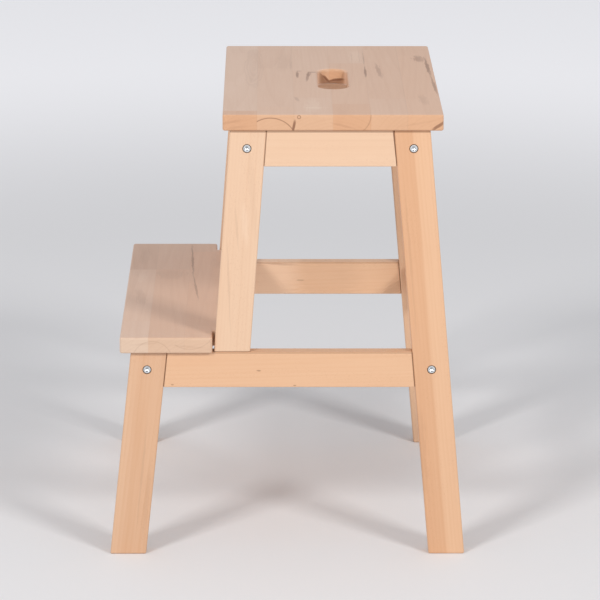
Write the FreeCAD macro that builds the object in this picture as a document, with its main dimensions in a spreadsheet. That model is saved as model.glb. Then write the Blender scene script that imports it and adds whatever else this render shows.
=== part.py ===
import FreeCAD, Part
import math
import os
import re
import Sketcher

# Two-step wooden stool. +Z is up, the step is at the front (-Y), +X is the right side
# for someone about to step up. The origin lies on the floor, midway between the feet.

doc = FreeCAD.newDocument("step_stool")

# Driving dimensions, in millimetres and degrees
dimensions = [
    ("overall_height", 500, "floor to the top of the seat"),
    ("feet_width", 430, "outside of the feet, side to side"),
    ("feet_depth", 398, "front of the front feet to the back of the rear feet"),
    ("side_splay", 2.6, "lean of each side frame towards the middle"),
    ("step_height", 251, "floor to the top of the step"),
    ("leg_width", 40, "leg, seen from the side"),
    ("leg_thickness", 20, "leg, across the side frame"),
    ("leg_rounding", 1.8, "rounding of the leg edges"),
    ("rear_lean", 5.05, "lean of the rear leg, seen from the side"),
    ("lower_front_lean", 6.12, "lean of the lower front leg"),
    ("upper_front_lean", 4.2, "lean of the upper front leg"),
    ("upper_leg_setback", 137.4, "front of the feet to the middle of the upper leg's foot"),
    ("rail_height", 40, "side rail"),
    ("rail_thickness", 16, "side rail"),
    ("rail_rounding", 1, "rounding of the rail edges"),
    ("cross_rail_height", 40, "cross rail"),
    ("cross_rail_thickness", 20, "cross rail"),
    ("bolt_drop", 20, "bolt below the top of its cross rail"),
    ("seat_thickness", 18, "seat board"),
    ("seat_front_overhang", 8.1, "seat in front of the upper leg"),
    ("seat_rear_overhang", 14.1, "seat behind the rear leg"),
    ("seat_side_overhang", 1.9, "seat beyond the side frame"),
    ("step_thickness", 18, "step board"),
    ("step_front_overhang", 12, "step in front of the lower leg"),
    ("step_side_overhang", 5.6, "step beyond the side frame"),
    ("step_tongue", 37.4, "step between the upper legs, front to back"),
    ("notch_front_gap", 1.8, "notch to the front of the upper leg"),
    ("notch_side_gap", 3.6, "notch to the inside of the upper leg"),
    ("corner_radius", 3, "board corners, seen from above"),
    ("board_rounding", 2, "rounding of the board edges"),
    ("slot_length", 112, "hand slot, side to side"),
    ("slot_width", 34, "hand slot, front to back"),
    ("slot_setback", 3, "middle of the hand slot behind the middle of the seat"),
    ("slot_rounding", 3, "rounding of the hand slot's rim"),
    ("dowel_diameter", 8, "wooden dowel"),
    ("dowel_chamfer", 1, "wooden dowel's ends"),
    ("dowel_play", 0.1, "dowel hole wider than the dowel"),
    ("dowel_end_gap", 1, "dowel hole deeper than the dowel"),
    ("rail_dowel_in_leg", 12, "glue dowel's part in the leg"),
    ("rail_dowel_in_rail", 18, "glue dowel's part in the rail's end"),
    ("rail_dowel_spacing", 22, "between the two dowels of a rail's end"),
    ("foot_dowel_in_leg", 16, "upright dowel's part in the upper leg"),
    ("foot_dowel_in_rail", 14, "upright dowel's part in the lower rail"),
    ("foot_dowel_spacing", 18, "between the two upright dowels"),
    ("cross_dowel_in_leg", 9, "locating dowel's part in the leg"),
    ("cross_dowel_in_rail", 21, "locating dowel's part in the cross rail"),
    ("cross_dowel_drop", 12, "locating dowel below the bolt"),
    ("bolt_diameter", 6, "M6 bolt"),
    ("bolt_length", 55, "bolt under its head"),
    ("bolt_head_diameter", 9.4, "bolt head"),
    ("bolt_head_height", 6, "bolt head"),
    ("bolt_head_chamfer", 0.6, "bolt head"),
    ("bolt_socket", 5, "socket, across its flats"),
    ("bolt_socket_depth", 2.2, "socket, down to its drilled bottom"),
    ("bolt_socket_cone", 30, "slope of the socket's drilled bottom"),
    ("bolt_head_play", 0.6, "counterbore wider than the bolt head"),
    ("bolt_play", 0.5, "bolt hole wider than the bolt"),
    ("bolt_end_gap", 2.5, "bolt hole deeper than the bolt"),
    ("head_recess", 0.5, "bolt head below the leg's face"),
    ("nut_diameter", 10, "barrel nut"),
    ("nut_length", 14, "barrel nut"),
    ("nut_chamfer", 0.5, "barrel nut's ends"),
    ("nut_play", 0.4, "hole wider than the barrel nut"),
    ("nut_thread_play", 0.2, "barrel nut's thread over the bolt"),
    ("nut_setback", 33, "cross rail's end to the barrel nut"),
    ("nut_slot_width", 1.4, "screwdriver slot"),
    ("nut_slot_depth", 1.4, "screwdriver slot"),
    ("screw_diameter", 4, "wood screw"),
    ("screw_length", 30, "wood screw under its head"),
    ("screw_tip", 4, "wood screw's point"),
    ("screw_head_diameter", 8, "wood screw's head"),
    ("screw_head_height", 3, "wood screw's head"),
    ("screw_recess_width", 1, "cross recess"),
    ("screw_recess_length", 4.4, "cross recess"),
    ("screw_recess_depth", 1.6, "cross recess"),
    ("screw_play", 0.4, "clearance hole wider than the screw"),
    ("screw_bite", 12, "wood screw's part in the board"),
    ("screw_end_gap", 1, "pilot hole deeper than the screw"),
    ("screw_head_play", 1, "counterbore wider than the screw's head"),
    ("screw_spacing", 200, "between the two screws of a cross rail"),
]

sheet = doc.addObject("Spreadsheet::Sheet", "sizes")
for row, (alias, value, note) in enumerate(dimensions, start=1):
    sheet.set(f"A{row}", note)
    sheet.set(f"B{row}", str(value))
    sheet.setAlias(f"B{row}", alias)
doc.recompute()

alias_pattern = re.compile(r"\b(" + "|".join(alias for alias, _, _ in dimensions) + r")\b")


# Expressions

def with_sheet(expression):
    """The expression, with each alias read from the sheet."""
    return alias_pattern.sub(r"sizes.\1", expression)


def number(expression):
    result = sheet.evalExpression(with_sheet(expression))
    return float(getattr(result, "Value", result))


def bind(item, name, expression):
    item.setExpression(name, with_sheet(expression))


def place(point, turn=("0", "0", "0")):
    """Placement from a point and yaw, pitch and roll."""
    return f"placement(vector({'; '.join(point)}); rotation({'; '.join(turn)}))"


# The side frame's own axes: x runs to the back, y up the slope and z out of its outer face.
frame_turn = ("90", "0", "90 - side_splay")
frame_place = place(("feet_width / 2", "0", "0"), frame_turn)

seat_underside = "(overall_height - seat_thickness)"
step_underside = "(step_height - step_thickness)"


def up_slope(height):
    """Distance up the outer face that reaches a height above the floor."""
    return f"({height} / cos(side_splay))"


def frame_point(back, up, out):
    """A point given in the side frame's axes, as x, y and z of the stool."""
    x = f"feet_width / 2 - {up} * sin(side_splay) + ({out}) * cos(side_splay)"
    z = f"{up} * cos(side_splay) + ({out}) * sin(side_splay)"
    return x, back, z


# Legs: where the middle of the foot is, the lean, and the heights of both ends
rear = {
    "foot": "(feet_depth / 2 - leg_width / 2 / cos(rear_lean))",
    "lean": "-rear_lean",
    "low": "0",
    "high": seat_underside,
}
lower_front = {
    "foot": "(leg_width / 2 / cos(lower_front_lean) - feet_depth / 2)",
    "lean": "lower_front_lean",
    "low": "0",
    "high": step_underside,
}
upper_front = {
    "foot": "(upper_leg_setback - feet_depth / 2)",
    "lean": "upper_front_lean",
    "low": step_underside,
    "high": seat_underside,
}


def leg_middle(leg, up):
    return f"({leg['foot']} + ({up} - {up_slope(leg['low'])}) * tan({leg['lean']}))"


def leg_front(leg, up):
    return f"({leg_middle(leg, up)} - leg_width / 2 / cos({leg['lean']}))"


def leg_back(leg, up):
    return f"({leg_middle(leg, up)} + leg_width / 2 / cos({leg['lean']}))"


def bolt_up(top):
    """Distance up the slope of the bolts into a cross rail with this top."""
    return up_slope(f"({top} - bolt_drop)")


def rail_middle_up(top):
    return up_slope(f"({top} - rail_height / 2)")


# Sketches and features

def new_body(label, placement=None):
    body = doc.addObject("PartDesign::Body", label)
    body.Label = label
    if placement:
        bind(body, "Placement", placement)
    return body


def origin_plane(body, role):
    return next(item for item in body.Origin.OriginFeatures if item.Role == role)


def new_sketch(body, name, role, offset=None):
    sketch = body.newObject("Sketcher::SketchObject", name)
    sketch.AttachmentSupport = [(origin_plane(body, role), "")]
    sketch.MapMode = "FlatFace"
    if offset:
        bind(sketch, "AttachmentOffset", offset)
    return sketch


def pin(sketch, geometry, point, x, y):
    """Hold a point of the sketch at x and y."""
    for kind, expression in (("DistanceX", x), ("DistanceY", y)):
        value = number(expression)
        index = sketch.addConstraint(Sketcher.Constraint(kind, -1, 1, geometry, point, value))
        bind(sketch, f"Constraints[{index}]", expression)


def draw_polygon(sketch, points):
    corners = [FreeCAD.Vector(number(x), number(y), 0) for x, y in points]
    count = len(corners)
    first = sketch.GeometryCount
    for i in range(count):
        sketch.addGeometry(Part.LineSegment(corners[i], corners[(i + 1) % count]))
    for i in range(count):
        following = first + (i + 1) % count
        sketch.addConstraint(Sketcher.Constraint("Coincident", first + i, 2, following, 1))
    for i, (x, y) in enumerate(points):
        pin(sketch, first + i, 1, x, y)


def draw_circle(sketch, x, y, diameter):
    centre = FreeCAD.Vector(number(x), number(y), 0)
    up = FreeCAD.Vector(0, 0, 1)
    circle = sketch.addGeometry(Part.Circle(centre, up, number(diameter) / 2))
    index = sketch.addConstraint(Sketcher.Constraint("Diameter", circle, number(diameter)))
    bind(sketch, f"Constraints[{index}]", diameter)
    pin(sketch, circle, 3, x, y)


def pad(body, sketch, length, side="One side", backwards=False):
    feature = body.newObject("PartDesign::Pad", "pad")
    feature.Profile = sketch
    feature.SideType = side
    feature.Reversed = backwards
    bind(feature, "Length", length)
    doc.recompute()
    return feature


def pocket(body, sketch, length=None, along_normal=False, side="One side"):
    """Cut the sketch out of the body, against the sketch's normal, and make sure that it cut."""
    before = body.Shape.Volume
    feature = body.newObject("PartDesign::Pocket", sketch.Name + "_cut")
    feature.Profile = sketch
    feature.SideType = side
    feature.Reversed = along_normal
    if length:
        bind(feature, "Length", length)
    else:
        feature.Type = "ThroughAll"
    doc.recompute()
    if not feature.Shape.Volume < before - 1:
        raise RuntimeError(f"{sketch.Name} cuts nothing out of {body.Label}")
    return feature


def round_edges(body, radius, chosen=None):
    """Round all edges, or those for which chosen(edge) is true."""
    base = body.Tip
    feature = body.newObject("PartDesign::Fillet", "rounding")
    if chosen:
        names = [f"Edge{i}" for i, edge in enumerate(base.Shape.Edges, start=1) if chosen(edge)]
        feature.Base = (base, names)
    else:
        feature.Base = (base, [""])
        feature.UseAllEdges = True
    bind(feature, "Radius", radius)
    doc.recompute()
    return feature


def is_upright(edge):
    box = edge.BoundBox
    return box.XLength < 0.01 and box.YLength < 0.01


def is_level(edge):
    return edge.BoundBox.ZLength < 0.01


def is_slot_rim(edge):
    """True for a level edge of the hand slot, which is shorter than the board around it."""
    reach = number("slot_length / 2") + 0.01
    return is_level(edge) and edge.BoundBox.XMin > -reach and edge.BoundBox.XMax < reach


def round_bore(body, name, role, centres, diameter, start, along_normal=False):
    """Round holes from the plane at start, out through the body."""
    sketch = new_sketch(body, name, role, place(("0", "0", start)))
    for x, y in centres:
        draw_circle(sketch, x, y, diameter)
    return pocket(body, sketch, along_normal=along_normal)


# Members of the side frame

def saw_level(body, name, height, above):
    """Saw the member level at a height above the floor."""
    offset = place(("0", "0", f"-{up_slope(height)}"), ("0", "0", "side_splay"))
    sketch = new_sketch(body, name, "XZ_Plane", offset)
    draw_polygon(sketch, [
        ("-feet_depth", "-2 * leg_thickness"),
        ("feet_depth", "-2 * leg_thickness"),
        ("feet_depth", "2 * leg_thickness"),
        ("-feet_depth", "2 * leg_thickness"),
    ])
    pocket(body, sketch, along_normal=not above)


dowel_hole = "(dowel_diameter + dowel_play)"
bolt_hole = "(bolt_diameter + bolt_play)"
screw_hole = "(screw_diameter + screw_play)"
screw_head_hole = "(screw_head_diameter + screw_head_play)"
frame_middle = "-rail_thickness / 2"


def pair_about(middle, spacing):
    return f"({middle} - {spacing} / 2)", f"({middle} + {spacing} / 2)"


def rail_dowel_centres(top):
    ups = pair_about(rail_middle_up(top), "rail_dowel_spacing")
    return [(up, frame_middle) for up in ups]


def foot_dowel_centres():
    backs = pair_about(upper_front["foot"], "foot_dowel_spacing")
    return [(back, frame_middle) for back in backs]


def leg_stick(label, leg):
    """A plain leg, sawn level at both ends, with rounded edges."""
    body = new_body(label, frame_place)
    low = f"({up_slope(leg['low'])} - leg_thickness)"
    high = f"({up_slope(leg['high'])} + leg_thickness)"
    sketch = new_sketch(body, "outline", "XY_Plane")
    draw_polygon(sketch, [
        (leg_front(leg, low), low),
        (leg_back(leg, low), low),
        (leg_back(leg, high), high),
        (leg_front(leg, high), high),
    ])
    pad(body, sketch, "leg_thickness", backwards=True)
    saw_level(body, "foot", leg["low"], above=False)
    saw_level(body, "head", leg["high"], above=True)
    round_edges(body, "leg_rounding")
    return body


def bore_for_bolt(body, leg, top):
    """Counterbore, bolt hole and the blind hole of the locating dowel."""
    up = bolt_up(top)
    back = leg_middle(leg, up)
    head = new_sketch(body, "head_bore", "XY_Plane")
    draw_circle(head, back, up, "bolt_head_diameter + bolt_head_play")
    pocket(body, head, "bolt_head_height + head_recess")
    shank = new_sketch(body, "bolt_bore", "XY_Plane")
    draw_circle(shank, back, up, bolt_hole)
    pocket(body, shank)
    depth = "(cross_dowel_in_leg + dowel_end_gap)"
    centre = [(back, f"({up} - cross_dowel_drop)")]
    round_bore(body, "cross_dowel", "XY_Plane", centre, dowel_hole, f"{depth} - leg_thickness")


def bore_for_rail(body, leg, top, behind):
    """Dowel holes in a leg, towards a side rail behind it or in front of it."""
    up = rail_middle_up(top)
    depth = "(rail_dowel_in_leg + dowel_end_gap)"
    start = f"{leg_back(leg, up)} - {depth}" if behind else f"{leg_front(leg, up)} + {depth}"
    centres = rail_dowel_centres(top)
    round_bore(body, "rail_dowels", "YZ_Plane", centres, dowel_hole, start, along_normal=behind)


def side_rail(label, front_leg, top):
    """A side rail between two legs, its top sawn level and its ends cut to the legs' lean."""
    body = new_body(label, frame_place)
    low = up_slope(f"({top} - rail_height)")
    high = f"({up_slope(top)} + leg_thickness)"
    sketch = new_sketch(body, "outline", "XY_Plane")
    draw_polygon(sketch, [
        (leg_back(front_leg, low), low),
        (leg_front(rear, low), low),
        (leg_front(rear, high), high),
        (leg_back(front_leg, high), high),
    ])
    pad(body, sketch, "rail_thickness", backwards=True)
    saw_level(body, "top", top, above=True)
    round_edges(body, "rail_rounding")
    up = rail_middle_up(top)
    depth = "(rail_dowel_in_rail + dowel_end_gap)"
    centres = rail_dowel_centres(top)
    front_start = f"{leg_back(front_leg, up)} + {depth}"
    round_bore(body, "front_dowels", "YZ_Plane", centres, dowel_hole, front_start)
    back_start = f"{leg_front(rear, up)} - {depth}"
    round_bore(body, "back_dowels", "YZ_Plane", centres, dowel_hole, back_start, along_normal=True)
    return body


def rear_leg(label):
    body = leg_stick(label, rear)
    for top in (seat_underside, step_underside):
        bore_for_bolt(body, rear, top)
        bore_for_rail(body, rear, top, behind=False)
    return body


def lower_front_leg(label):
    body = leg_stick(label, lower_front)
    bore_for_bolt(body, lower_front, step_underside)
    bore_for_rail(body, lower_front, step_underside, behind=True)
    return body


def upper_front_leg(label):
    body = leg_stick(label, upper_front)
    bore_for_bolt(body, upper_front, seat_underside)
    bore_for_rail(body, upper_front, seat_underside, behind=True)
    depth = "foot_dowel_in_leg + dowel_end_gap"
    start = f"-({up_slope(step_underside)} + {depth})"
    centres = foot_dowel_centres()
    round_bore(body, "foot_dowels", "XZ_Plane", centres, dowel_hole, start, along_normal=True)
    return body


# The screw in each lower side rail stands midway between the two front legs.
side_screw_back = "({} / 2 + {} / 2)".format(
    leg_back(lower_front, up_slope(step_underside)),
    leg_front(upper_front, up_slope(step_underside)),
)


def lower_side_rail(label):
    body = side_rail(label, lower_front, step_underside)
    start = f"-({up_slope(step_underside)} - foot_dowel_in_rail - dowel_end_gap)"
    round_bore(body, "foot_dowels", "XZ_Plane", foot_dowel_centres(), dowel_hole, start)
    shoulder = f"-({up_slope(step_underside)} + screw_bite - screw_length)"
    centre = [(side_screw_back, frame_middle)]
    round_bore(body, "screw_bore", "XZ_Plane", centre, screw_hole, shoulder)
    round_bore(body, "screw_head_bore", "XZ_Plane", centre, screw_head_hole, shoulder, True)
    return body


# Cross rails

screw_sides = ("-screw_spacing / 2", "screw_spacing / 2")


def cross_rail_back(leg, top):
    """Where the middle of a cross rail lies, front to back."""
    return leg_middle(leg, bolt_up(top))


def rail_end(height):
    """Half the cross rail's length at a height."""
    return f"(feet_width / 2 - leg_thickness / cos(side_splay) - {height} * tan(side_splay))"


def end_bore(body, name, top, diameter, depth, drop="0"):
    """Blind hole into the right end of a cross rail, square to the side frame."""
    x, _, z = frame_point("0", bolt_up(top), f"-leg_thickness - {depth}")
    offset = place(("0", z, x), ("0", "0", "-side_splay"))
    sketch = new_sketch(body, name, "YZ_Plane", offset)
    draw_circle(sketch, "0", f"-{drop}", diameter)
    return pocket(body, sketch, along_normal=True)


def cross_rail(label, leg, top, opens_back, screwed):
    """A cross rail. Its barrel nuts go in from the back or from the front."""
    body = new_body(label, place(("0", cross_rail_back(leg, top), "0")))
    low = f"({top} - cross_rail_height)"
    sketch = new_sketch(body, "outline", "XZ_Plane")
    draw_polygon(sketch, [
        (f"-{rail_end(low)}", low),
        (rail_end(low), low),
        (rail_end(top), top),
        (f"-{rail_end(top)}", top),
    ])
    pad(body, sketch, "cross_rail_thickness", side="Symmetric")
    round_edges(body, "rail_rounding")
    if screwed:
        centres = [(x, "0") for x in screw_sides]
        shoulder = f"{top} + screw_bite - screw_length"
        round_bore(body, "screw_bores", "XY_Plane", centres, screw_hole, shoulder, True)
        round_bore(body, "screw_head_bores", "XY_Plane", centres, screw_head_hole, shoulder)
    bolt_reach = "bolt_length + bolt_head_height + head_recess - leg_thickness"
    bolt_depth = f"({bolt_reach} + bolt_end_gap)"
    bores = [end_bore(body, "bolt_bore", top, bolt_hole, bolt_depth)]
    dowel_depth = "(cross_dowel_in_rail + dowel_end_gap)"
    bores.append(end_bore(body, "dowel_bore", top, dowel_hole, dowel_depth, "cross_dowel_drop"))
    nut_x, _, nut_z = frame_point("0", bolt_up(top), "-leg_thickness - nut_setback")
    start = "nut_length / 2" if opens_back else "-nut_length / 2"
    nut_hole = "nut_diameter + nut_play"
    bores.append(round_bore(body, "nut_bore", "XZ_Plane", [(nut_x, nut_z)], nut_hole, start,
                            along_normal=not opens_back))
    other_end = body.newObject("PartDesign::Mirrored", "other_end")
    other_end.Originals = bores
    other_end.MirrorPlane = (origin_plane(body, "YZ_Plane"), [""])
    body.Tip = other_end
    return body


# Boards

def draw_slot(sketch, y):
    """A slot with round ends, its length along x."""
    radius = "slot_width / 2"
    reach = "(slot_length / 2 - slot_width / 2)"
    a, b, r = number(reach), number(y), number(radius)
    up = FreeCAD.Vector(0, 0, 1)
    ends = [Part.Circle(FreeCAD.Vector(x, b, 0), up, r) for x in (a, -a)]
    quarter = math.pi / 2
    right = sketch.addGeometry(Part.ArcOfCircle(ends[0], -quarter, quarter))
    left = sketch.addGeometry(Part.ArcOfCircle(ends[1], quarter, 3 * quarter))
    far = Part.LineSegment(FreeCAD.Vector(a, b + r, 0), FreeCAD.Vector(-a, b + r, 0))
    near = Part.LineSegment(FreeCAD.Vector(-a, b - r, 0), FreeCAD.Vector(a, b - r, 0))
    far = sketch.addGeometry(far)
    near = sketch.addGeometry(near)
    for joint in ((right, 2, far, 1), (far, 2, left, 1), (left, 2, near, 1), (near, 2, right, 1)):
        sketch.addConstraint(Sketcher.Constraint("Tangent", *joint))
    pin(sketch, right, 3, reach, y)
    pin(sketch, left, 3, f"-{reach}", y)
    index = sketch.addConstraint(Sketcher.Constraint("Radius", right, r))
    bind(sketch, f"Constraints[{index}]", radius)


seat_front = f"({leg_front(upper_front, up_slope(seat_underside))} - seat_front_overhang)"
seat_back = f"({leg_back(rear, up_slope(seat_underside))} + seat_rear_overhang)"


def seat_board(label):
    body = new_body(label, place(("0", "0", seat_underside)))
    side = f"(feet_width / 2 - {seat_underside} * tan(side_splay) + seat_side_overhang)"
    sketch = new_sketch(body, "outline", "XY_Plane")
    draw_polygon(sketch, [
        (f"-{side}", seat_front),
        (side, seat_front),
        (side, seat_back),
        (f"-{side}", seat_back),
    ])
    pad(body, sketch, "seat_thickness")
    round_edges(body, "corner_radius", is_upright)
    round_edges(body, "board_rounding", is_level)
    slot = new_sketch(body, "hand_slot", "XY_Plane")
    middle = f"({seat_front} / 2 + {seat_back} / 2 + slot_setback)"
    draw_slot(slot, middle)
    pocket(body, slot, along_normal=True)
    round_edges(body, "slot_rounding", is_slot_rim)
    screws = [(x, cross_rail_back(leg, seat_underside)) for leg in (upper_front, rear)
              for x in screw_sides]
    pilot = "screw_bite + screw_end_gap"
    round_bore(body, "screw_pilots", "XY_Plane", screws, "screw_diameter", pilot)
    return body


def step_board(label):
    body = new_body(label, place(("0", "0", step_underside)))
    side = f"(feet_width / 2 - {step_underside} * tan(side_splay) + step_side_overhang)"
    front = f"({leg_front(lower_front, up_slope(step_underside))} - step_front_overhang)"
    notch = f"({leg_front(upper_front, up_slope(step_underside))} - notch_front_gap)"
    inner = f"({rail_end('step_height')} - notch_side_gap)"
    back = f"({notch} + step_tongue)"
    sketch = new_sketch(body, "outline", "XY_Plane")
    draw_polygon(sketch, [
        (f"-{side}", front),
        (side, front),
        (side, notch),
        (inner, notch),
        (inner, back),
        (f"-{inner}", back),
        (f"-{inner}", notch),
        (f"-{side}", notch),
    ])
    pad(body, sketch, "step_thickness")
    round_edges(body, "corner_radius", is_upright)
    round_edges(body, "board_rounding", is_level)
    pilot = "screw_bite + screw_end_gap"
    front_screws = [(x, cross_rail_back(lower_front, step_underside)) for x in screw_sides]
    round_bore(body, "front_pilots", "XY_Plane", front_screws, "screw_diameter", pilot)
    up = f"({up_slope(step_underside)} + {pilot})"
    x, y, z = frame_point(side_screw_back, up, frame_middle)
    offset = place((x, y, f"{z} - {step_underside}"), ("0", "-side_splay", "0"))
    side_pilot = new_sketch(body, "side_pilot", "XY_Plane", offset)
    draw_circle(side_pilot, "0", "0", "screw_diameter")
    bore = pocket(body, side_pilot)
    other_side = body.newObject("PartDesign::Mirrored", "other_side")
    other_side.Originals = [bore]
    other_side.MirrorPlane = (origin_plane(body, "YZ_Plane"), [""])
    body.Tip = other_side
    return body


# Fasteners and dowels

def revolve(body, name, points):
    """Turn a half section, given as radius and height, about the body's z axis."""
    sketch = new_sketch(body, name, "XZ_Plane")
    draw_polygon(sketch, points)
    feature = body.newObject("PartDesign::Revolution", name + "_turned")
    feature.Profile = sketch
    feature.ReferenceAxis = (sketch, ["V_Axis"])
    feature.Angle = 360
    doc.recompute()
    return feature


def bolt(label, leg, top):
    """Socket head bolt, its head seated in the leg's counterbore."""
    shoulder = "-bolt_head_height - head_recess"
    point = frame_point(leg_middle(leg, bolt_up(top)), bolt_up(top), shoulder)
    body = new_body(label, place(point, frame_turn))
    radius = "bolt_diameter / 2"
    head = "bolt_head_diameter / 2"
    chamfer = "bolt_head_chamfer"
    drill = "bolt_socket * 0.47"  # just clear of the socket's flats
    floor = "bolt_head_height - bolt_socket_depth"
    revolve(body, "section", [
        ("0", "-bolt_length"),
        (f"{radius} - {chamfer}", "-bolt_length"),
        (radius, f"{chamfer} - bolt_length"),
        (radius, "0"),
        (head, "0"),
        (head, f"bolt_head_height - {chamfer}"),
        (f"{head} - {chamfer}", "bolt_head_height"),
        (drill, "bolt_head_height"),
        (drill, floor),
        ("0", f"{floor} - {drill} * tan(bolt_socket_cone)"),
    ])
    socket = new_sketch(body, "socket", "XY_Plane", place(("0", "0", "bolt_head_height")))
    reach = "bolt_socket / 2 / cos(30)"
    corners = [(f"{reach} * cos({60 * i})", f"{reach} * sin({60 * i})") for i in range(6)]
    draw_polygon(socket, corners)
    pocket(body, socket, "bolt_socket_depth")
    return body


def barrel_nut(label, leg, top, opens_back):
    """Barrel nut on the bolt's axis, its own z axis running to the back."""
    up = bolt_up(top)
    point = frame_point(leg_middle(leg, up), up, "-leg_thickness - nut_setback")
    body = new_body(label, place(point, ("0", "-side_splay", "-90")))
    radius, half = "nut_diameter / 2", "nut_length / 2"
    revolve(body, "section", [
        ("0", f"-{half}"),
        (f"{radius} - nut_chamfer", f"-{half}"),
        (radius, f"nut_chamfer - {half}"),
        (radius, f"{half} - nut_chamfer"),
        (f"{radius} - nut_chamfer", half),
        ("0", half),
    ])
    thread = new_sketch(body, "thread", "YZ_Plane")
    draw_circle(thread, "0", "0", "bolt_diameter + nut_thread_play")
    pocket(body, thread, side="Symmetric")
    start = f"{half} - nut_slot_depth"
    if not opens_back:
        start = f"-({start})"
    slot = new_sketch(body, "driver_slot", "XY_Plane", place(("0", "0", start)))
    side = "nut_slot_width / 2"
    draw_polygon(slot, [
        ("-nut_diameter", f"-{side}"),
        ("nut_diameter", f"-{side}"),
        ("nut_diameter", side),
        ("-nut_diameter", side),
    ])
    pocket(body, slot, along_normal=opens_back)
    return body


def dowel(label, point, turn, length):
    """Dowel whose lower end lies at a point, and which runs along its own z axis."""
    body = new_body(label, place(point, turn))
    radius = "dowel_diameter / 2"
    revolve(body, "section", [
        ("0", "0"),
        (f"{radius} - dowel_chamfer", "0"),
        (radius, "dowel_chamfer"),
        (radius, f"{length} - dowel_chamfer"),
        (f"{radius} - dowel_chamfer", length),
        ("0", length),
    ])
    return body


def screw(label, point, turn=("0", "0", "0")):
    """Wood screw, upright, the underside of its head at a point."""
    body = new_body(label, place(point, turn))
    radius = "screw_diameter / 2"
    head = "screw_head_diameter / 2"
    revolve(body, "section", [
        ("0", "-screw_head_height"),
        (f"{head} - screw_head_height / 3", "-screw_head_height"),
        (head, "-screw_head_height / 2"),
        (head, "0"),
        (radius, "0"),
        (radius, "screw_length - screw_tip"),
        ("0", "screw_length"),
    ])
    recess = new_sketch(body, "recess", "XY_Plane", place(("0", "0", "-screw_head_height")))
    arm, half = "screw_recess_length / 2", "screw_recess_width / 2"
    corners = []
    for turned in range(4):
        for along, across in ((half, f"-{half}"), (arm, f"-{half}"), (arm, half)):
            x = f"({along}) * cos({90 * turned}) - ({across}) * sin({90 * turned})"
            y = f"({along}) * sin({90 * turned}) + ({across}) * cos({90 * turned})"
            corners.append((x, y))
    draw_polygon(recess, corners)
    pocket(body, recess, "screw_recess_depth", along_normal=True)
    return body


def mirrored(label, source):
    """The left piece, made from the right one."""
    item = doc.addObject("Part::Mirroring", label)
    item.Label = label
    item.Source = source
    item.Normal = (1, 0, 0)
    return item


def group(label, pieces):
    item = doc.addObject("Part::Compound", label)
    item.Label = label
    item.Links = pieces
    return item


# Where a bolt goes: name, leg, top of its cross rail, whether its barrel nut goes in from behind
bolt_places = [
    ("upper_front", upper_front, seat_underside, True),
    ("upper_rear", rear, seat_underside, False),
    ("lower_front", lower_front, step_underside, True),
    ("lower_rear", rear, step_underside, False),
]


def frame_dowels():
    """The glue dowels of the right side frame."""
    dowels = []
    along_rail = ("90", "90", "0")
    ends = [
        (leg_back(upper_front, rail_middle_up(seat_underside)), seat_underside, True),
        (leg_front(rear, rail_middle_up(seat_underside)), seat_underside, False),
        (leg_back(lower_front, rail_middle_up(step_underside)), step_underside, True),
        (leg_front(rear, rail_middle_up(step_underside)), step_underside, False),
    ]
    for joint, top, leg_in_front in ends:
        start = "rail_dowel_in_leg" if leg_in_front else "rail_dowel_in_rail"
        for up, out in rail_dowel_centres(top):
            point = frame_point(f"({joint} - {start})", up, out)
            length = "(rail_dowel_in_leg + rail_dowel_in_rail)"
            dowels.append(dowel(f"rail_dowel_{len(dowels) + 1}", point, along_rail, length))
    for back, out in foot_dowel_centres():
        up = f"({up_slope(step_underside)} - foot_dowel_in_rail)"
        point = frame_point(back, up, out)
        length = "(foot_dowel_in_leg + foot_dowel_in_rail)"
        name = f"foot_dowel_{len(dowels) + 1}"
        dowels.append(dowel(name, point, ("0", "-side_splay", "0"), length))
    return dowels


def cross_dowels():
    """The locating dowels at the cross rails' right ends."""
    dowels = []
    for name, leg, top, _ in bolt_places:
        up = f"({bolt_up(top)} - cross_dowel_drop)"
        out = "-leg_thickness - cross_dowel_in_rail"
        point = frame_point(leg_middle(leg, bolt_up(top)), up, out)
        length = "(cross_dowel_in_leg + cross_dowel_in_rail)"
        dowels.append(dowel(f"{name}_dowel", point, frame_turn, length))
    return dowels


def make_seat_screws():
    height = f"{seat_underside} + screw_bite - screw_length"
    screws = []
    for leg in (upper_front, rear):
        for x in screw_sides:
            point = (x, cross_rail_back(leg, seat_underside), height)
            screws.append(screw(f"seat_screw_{len(screws) + 1}", point))
    return screws


def make_step_screws():
    height = f"{step_underside} + screw_bite - screw_length"
    back = cross_rail_back(lower_front, step_underside)
    screws = [screw(f"step_screw_{i}", (x, back, height)) for i, x in enumerate(screw_sides, 1)]
    up = f"({up_slope(step_underside)} + screw_bite - screw_length)"
    point = frame_point(side_screw_back, up, frame_middle)
    screws.append(screw("right_step_screw", point, ("0", "-side_splay", "0")))
    screws.append(mirrored("left_step_screw", screws[-1]))
    return screws


# The stool

frame_members = [
    ("rear_leg", rear_leg),
    ("lower_front_leg", lower_front_leg),
    ("upper_front_leg", upper_front_leg),
    ("lower_side_rail", lower_side_rail),
    ("top_side_rail", lambda label: side_rail(label, upper_front, seat_underside)),
]

nodes = [seat_board("seat_board"), step_board("step_board")]
for member, make in frame_members:
    right = make("right_" + member)
    nodes += [right, mirrored("left_" + member, right)]
for name, leg, top, opens_back in bolt_places:
    screwed = name != "lower_rear"
    nodes.append(cross_rail(f"{name}_cross_rail", leg, top, opens_back, screwed))

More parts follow.
